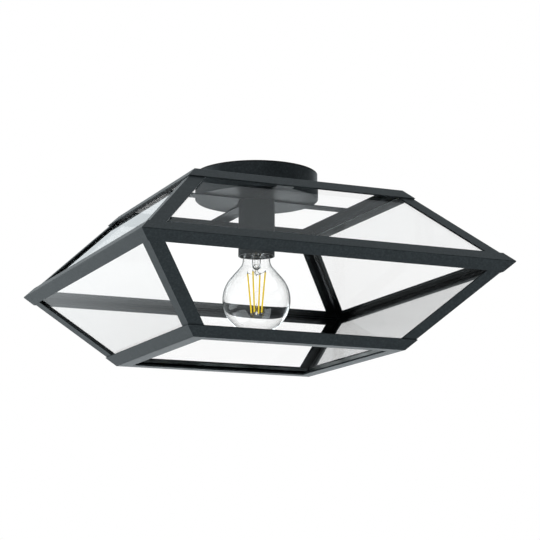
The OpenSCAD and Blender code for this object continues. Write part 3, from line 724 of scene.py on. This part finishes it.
# One Math node: each input is a socket or a number.
def number(tree, kind, *inputs):
    node = tree.nodes.new("ShaderNodeMath")
    node.operation = kind
    for socket, value in zip(node.inputs, inputs):
        if hasattr(value, "links"):
            tree.links.new(value, socket)
        else:
            socket.default_value = value
    return node.outputs[0]


def times(tree, first, *others):
    for other in others:
        first = number(tree, "MULTIPLY", first, other)
    return first


# The low number where the share is 0, and the high one where it is 1.
def between(tree, share, low, high):
    return number(tree, "MULTIPLY_ADD", share, high - low, low)


# 0 below one value, 1 above the other and smooth between; the first may be the larger one.
def rising(tree, value, low, high):
    node = tree.nodes.new("ShaderNodeMapRange")
    node.interpolation_type = "SMOOTHSTEP"
    node.inputs["From Min"].default_value = low
    node.inputs["From Max"].default_value = high
    tree.links.new(value, node.inputs["Value"])
    return node.outputs["Result"]


# plain: seen by the camera, straight or through clear glass. mirrored: seen in a reflection, and
# again: in a second one. passes: surfaces of glass passed. through: 1 where there are any.
def rayKinds(tree):
    rays = tree.nodes.new("ShaderNodeLightPath").outputs
    bounced = number(tree, "GREATER_THAN", rays["Glossy Depth"], 0.5)
    notScattered = number(tree, "LESS_THAN", rays["Diffuse Depth"], 0.5)
    seen = number(tree, "MAXIMUM", rays["Is Camera Ray"], rays["Is Transmission Ray"])
    anySeen = number(tree, "MAXIMUM", seen, rays["Is Glossy Ray"])
    return dict(
        plain=times(tree, seen, notScattered, number(tree, "SUBTRACT", 1.0, bounced)),
        mirrored=times(tree, anySeen, notScattered, bounced),
        again=number(tree, "GREATER_THAN", rays["Glossy Depth"], 1.5),
        passes=rays["Transmission Depth"],
        through=number(tree, "GREATER_THAN", rays["Transmission Depth"], 0.5))


ground = dict(
    level=-2.4, half=9.0,
    shadeOut=(1.2, 3.2),   # distances between which the paint gives way to plain white
    paint=0.80, mottle=0.01, glow=0.45,
    quiet=0.04,            # its colour in light that is neither plain nor mirrored
)


def addFloor(values):
    h, z = values["half"], values["level"]
    mesh = bpy.data.meshes.new("paleFloor")
    mesh.from_pydata([(-h, -h, z), (h, -h, z), (h, h, z), (-h, h, z)], [], [(0, 1, 2, 3)])
    floor = bpy.data.objects.new("paleFloor", mesh)
    bpy.context.scene.collection.objects.link(floor)
    m = Recipe("paleFloorPaint", (values["paint"],) * 3, 0.9)
    stops = [(where, (values["paint"] + way * values["mottle"],) * 3) for where, way in ((0.3, -1), (0.7, 1))]
    m.color(m.ramp(m.noise(3, detail=3), stops))
    m.set("Emission Color", (1, 1, 1, 1))
    m.set("Emission Strength", values["glow"])

    def mixed(share, first, second):
        node = m.add("ShaderNodeMixShader")
        for source, socket in zip((share, first, second), node.inputs):
            m.link(source, socket)
        return node.outputs[0]

    flat = m.add("ShaderNodeVectorMath", operation="MULTIPLY")
    flat.inputs[1].default_value = (1, 1, 0)
    m.link(m.coords(), flat.inputs[0])
    out = m.add("ShaderNodeVectorMath", operation="LENGTH")
    m.link(flat.outputs["Vector"], out.inputs[0])
    farOut = rising(m.tree, out.outputs["Value"], *values["shadeOut"])
    rays = rayKinds(m.tree)
    pale = mixed(farOut, m.shader.outputs[0], m.add("ShaderNodeEmission").outputs[0])
    quiet = m.add("ShaderNodeBsdfDiffuse", Color=(*(values["quiet"],) * 3, 1))
    clear = m.add("ShaderNodeBsdfTransparent")
    either = mixed(rays["plain"], quiet.outputs[0], pale)
    mirror = mixed(rays["mirrored"], either, clear.outputs[0])
    m.link(mirror, m.tree.nodes["Material Output"].inputs["Surface"])
    mesh.materials.append(m.material)


addFloor(ground)

lampAim = (0, 0, -0.12)   # the middle of the cage
lamps = dict(             # place, width of the square and watts
    softKey=((-1.6, -2.6, 0.9), 1.6, 37.0),
    softLow=((1.6, -1.4, -2.0), 1.4, 60.0),
    softLeft=((-2.8, 0.4, -0.6), 1.4, 36.0),
    softRight=((2.8, -0.3, 0.2), 1.4, 42.0),
    softRear=((1.5, 2.5, 1.0), 1.4, 40.0),
    softRearLow=((1.1, 2.7, -0.95), 1.0, 45.0),
)
for name, (place, width, watts) in lamps.items():
    data = bpy.data.lights.new(name, "AREA")
    data.shape = "SQUARE"
    data.size = width
    data.energy = watts
    lamp = bpy.data.objects.new(name, data)
    bpy.context.scene.collection.objects.link(lamp)
    lamp.location = place
    lamp.rotation_euler = (Vector(lampAim) - Vector(place)).to_track_quat("-Z", "Y").to_euler()
    lamp.visible_transmission = False
    lamp.visible_glossy = False
print("floor and lamps done")

studio = dict(
    white=1.0, glassGain=0.035,          # what the camera sees, and what each surface of glass adds to it
    soft=0.24, paned=0.9,                # what lights the surfaces, straight and through the panes
    front=0.06, back=1.1, up=0.66,       # what metal and glass reflect
    lowDark=0.75, highDark=0.12,         # share taken off low behind and high behind
    lowBright=0.95,                      # share added just under eye level
    inside=0.18, insideLow=1.45,         # share of it for a reflection through glass, and under eye level
    tint=(0.90, 0.97, 1.0),
    # bright panels far away: direction, half width, half height and soft edge as tangents, strength
    windows=(
        dict(middle=(0.36, -0.54, -0.76), wide=0.22, high=0.33, edge=0.05, strength=2.1),
        dict(middle=(-0.62, 0.22, -0.72), wide=0.34, high=0.52, edge=0.03, strength=1.7),
        dict(middle=(0.05, -0.20, -0.97), wide=0.41, high=0.34, edge=0.09, strength=0.85),
        dict(middle=(-0.80, 0.45, -0.25), wide=0.42, high=0.26, edge=0.03, strength=1.3),
    ),
)
world = bpy.data.worlds.new("whiteStudio")
world.use_nodes = True
bpy.context.scene.world = world
tree = world.node_tree
tree.nodes.clear()
toSky = tree.nodes.new("ShaderNodeTexCoord").outputs["Generated"]   # the direction of the ray
part = tree.nodes.new("ShaderNodeSeparateXYZ")
tree.links.new(toSky, part.inputs[0])
x, y, z = (part.outputs[axis] for axis in "XYZ")
rays = rayKinds(tree)


# A panel far away: inside where both sideways shares of the direction stay within its halves. In a
# second reflection it is no stronger than plain white, which keeps stray bright dots out.
def windowLight(middle, wide, high, edge, strength):
    c = Vector(middle).normalized()
    across = (Vector((1, 0, 0)) - c * c.x).normalized()
    shares = []
    for axis in (c, across, c.cross(across)):
        dot = tree.nodes.new("ShaderNodeVectorMath")
        dot.operation = "DOT_PRODUCT"
        dot.inputs[1].default_value = axis
        tree.links.new(toSky, dot.inputs[0])
        shares.append(dot.outputs["Value"])
    ahead = number(tree, "MAXIMUM", shares[0], 0.001)
    level = number(tree, "GREATER_THAN", shares[0], 0.0)
    for share, half in zip(shares[1:], (wide, high)):
        aside = number(tree, "ABSOLUTE", number(tree, "DIVIDE", share, ahead))
        level = times(tree, level, rising(tree, number(tree, "SUBTRACT", half, aside), 0.0, edge))
    return times(tree, level, between(tree, rays["again"], strength, min(strength, 1.0)))


s = studio
behind = between(tree, rising(tree, y, 0.2, 0.6), s["front"], s["back"])
# low behind the lantern the studio darkens from left to right, and high behind it upwards
lowRight = times(tree, rising(tree, x, -0.25, -0.12), rising(tree, z, -0.26, -0.36))
behind = times(tree, behind, between(tree, lowRight, 1.0, 1.0 - s["lowDark"]))
behind = times(tree, behind, between(tree, rising(tree, z, 0.05, 0.45), 1.0, 1.0 - s["highDark"]))
# a brighter patch just under eye level, which the undersides of the rails and the canopy mirror
underEye = times(tree, rising(tree, z, -0.36, -0.24), rising(tree, z, 0.14, 0.02))
underEye = times(tree, underEye, rising(tree, x, 0.05, 0.25))
behind = times(tree, behind, between(tree, underEye, 1.0, 1.0 + s["lowBright"]))
above = times(tree, rising(tree, z, 0.45, 0.75), s["up"])
# a reflection that also went through glass lies inside the lantern
share = between(tree, underEye, s["inside"], s["insideLow"])
kept = number(tree, "MULTIPLY_ADD", rays["through"], number(tree, "SUBTRACT", share, 1.0), 1.0)
reflected = times(tree, number(tree, "MAXIMUM", behind, above), kept)
for panel in s["windows"]:
    reflected = number(tree, "ADD", reflected, windowLight(**panel))
lit = number(tree, "SUBTRACT", 1.0, number(tree, "MAXIMUM", rays["plain"], rays["mirrored"]))
backdrop = number(tree, "MULTIPLY_ADD", rays["passes"], s["glassGain"], s["white"])
direct = times(tree, rays["plain"], backdrop)
tinted = number(tree, "ADD", times(tree, rays["mirrored"], reflected),
                times(tree, lit, between(tree, rays["through"], s["soft"], s["paned"])))
both = tree.nodes.new("ShaderNodeAddShader")
for socket, color, strength in zip(both.inputs, ((1, 1, 1), s["tint"]), (direct, tinted)):
    sky = tree.nodes.new("ShaderNodeBackground")
    sky.inputs["Color"].default_value = (*color, 1)
    tree.links.new(strength, sky.inputs["Strength"])
    tree.links.new(sky.outputs[0], socket)
tree.links.new(both.outputs[0], tree.nodes.new("ShaderNodeOutputWorld").inputs["Surface"])
print("studio done")
